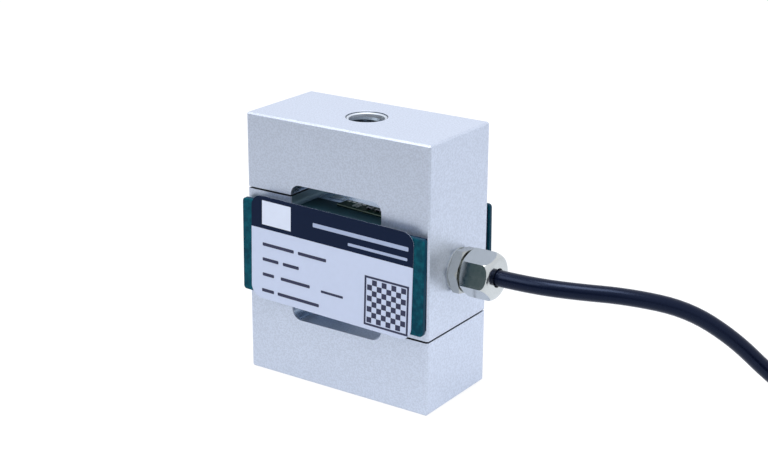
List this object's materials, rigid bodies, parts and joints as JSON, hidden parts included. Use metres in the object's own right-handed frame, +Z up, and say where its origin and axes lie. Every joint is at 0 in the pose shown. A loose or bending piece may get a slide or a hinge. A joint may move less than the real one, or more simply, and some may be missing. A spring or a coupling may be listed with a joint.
{
  "type": "s type load cell",
  "caption": "S-shaped aluminium load cell block with threaded ends, two rounded slots, covered flexure window, side cable gland and a coiled lead with bare cores.",
  "frame": {"origin": "on the loading axis at the underside of the block, at the mouth of the lower thread", "axes": "+Z up the loading axis, +X out of the side with the cable gland, +Y to the back; the labelled cover faces -Y"},
  "size_m": [0.1966, 0.0644, 0.064],
  "materials": {
    "aluminium": "fine bead blasted, satin",
    "cover_laminate": "glass epoxy sheet, satin",
    "foam": "closed cell foam, matt",
    "label_film": "printed polyester film, satin",
    "gauge_foil": "polyimide film over foil, satin",
    "board_laminate": "solder-masked board, gloss",
    "chip_ceramic": "glazed ceramic with tinned ends",
    "nickel": "bright nickel plate on brass",
    "rubber": "moulded rubber, matt",
    "cable_jacket": "extruded jacket, satin",
    "shrink_sleeve": "heat-shrink tube, satin",
    "core_red": "insulation, satin",
    "core_black": "insulation, satin",
    "core_green": "insulation, satin",
    "core_white": "insulation, satin",
    "bare_wire": "tinned copper strand"
  },
  "bodies": {
    "root": {"elastic_element": "aluminium", "front_cover_plate": "cover_laminate", "rear_cover_plate": "cover_laminate", "front_foam_pad_left": "foam", "front_foam_pad_right": "foam", "rear_foam_pad_left": "foam", "rear_foam_pad_right": "foam", "label": "label_film", "strain_gauge_upper_left": "gauge_foil", "strain_gauge_upper_right": "gauge_foil", "strain_gauge_lower_left": "gauge_foil", "strain_gauge_lower_right": "gauge_foil", "terminal_board": "board_laminate", "trim_resistor_1": "chip_ceramic", "trim_resistor_2": "chip_ceramic", "gland_washer": "rubber", "gland_body": "nickel", "gland_cap_nut": "nickel", "gland_seal": "rubber", "cable_in_gland": "cable_jacket", "cable_tube": "cable_jacket", "cable_coil": "cable_jacket", "cable_end_sleeve": "shrink_sleeve", "core_red": "core_red", "core_black": "core_black", "core_green": "core_green", "core_white": "core_white", "core_end_red": "core_red", "core_end_black": "core_black", "core_end_green": "core_green", "core_end_white": "core_white", "core_end_drain": "bare_wire"}
  },
  "joints": []
}
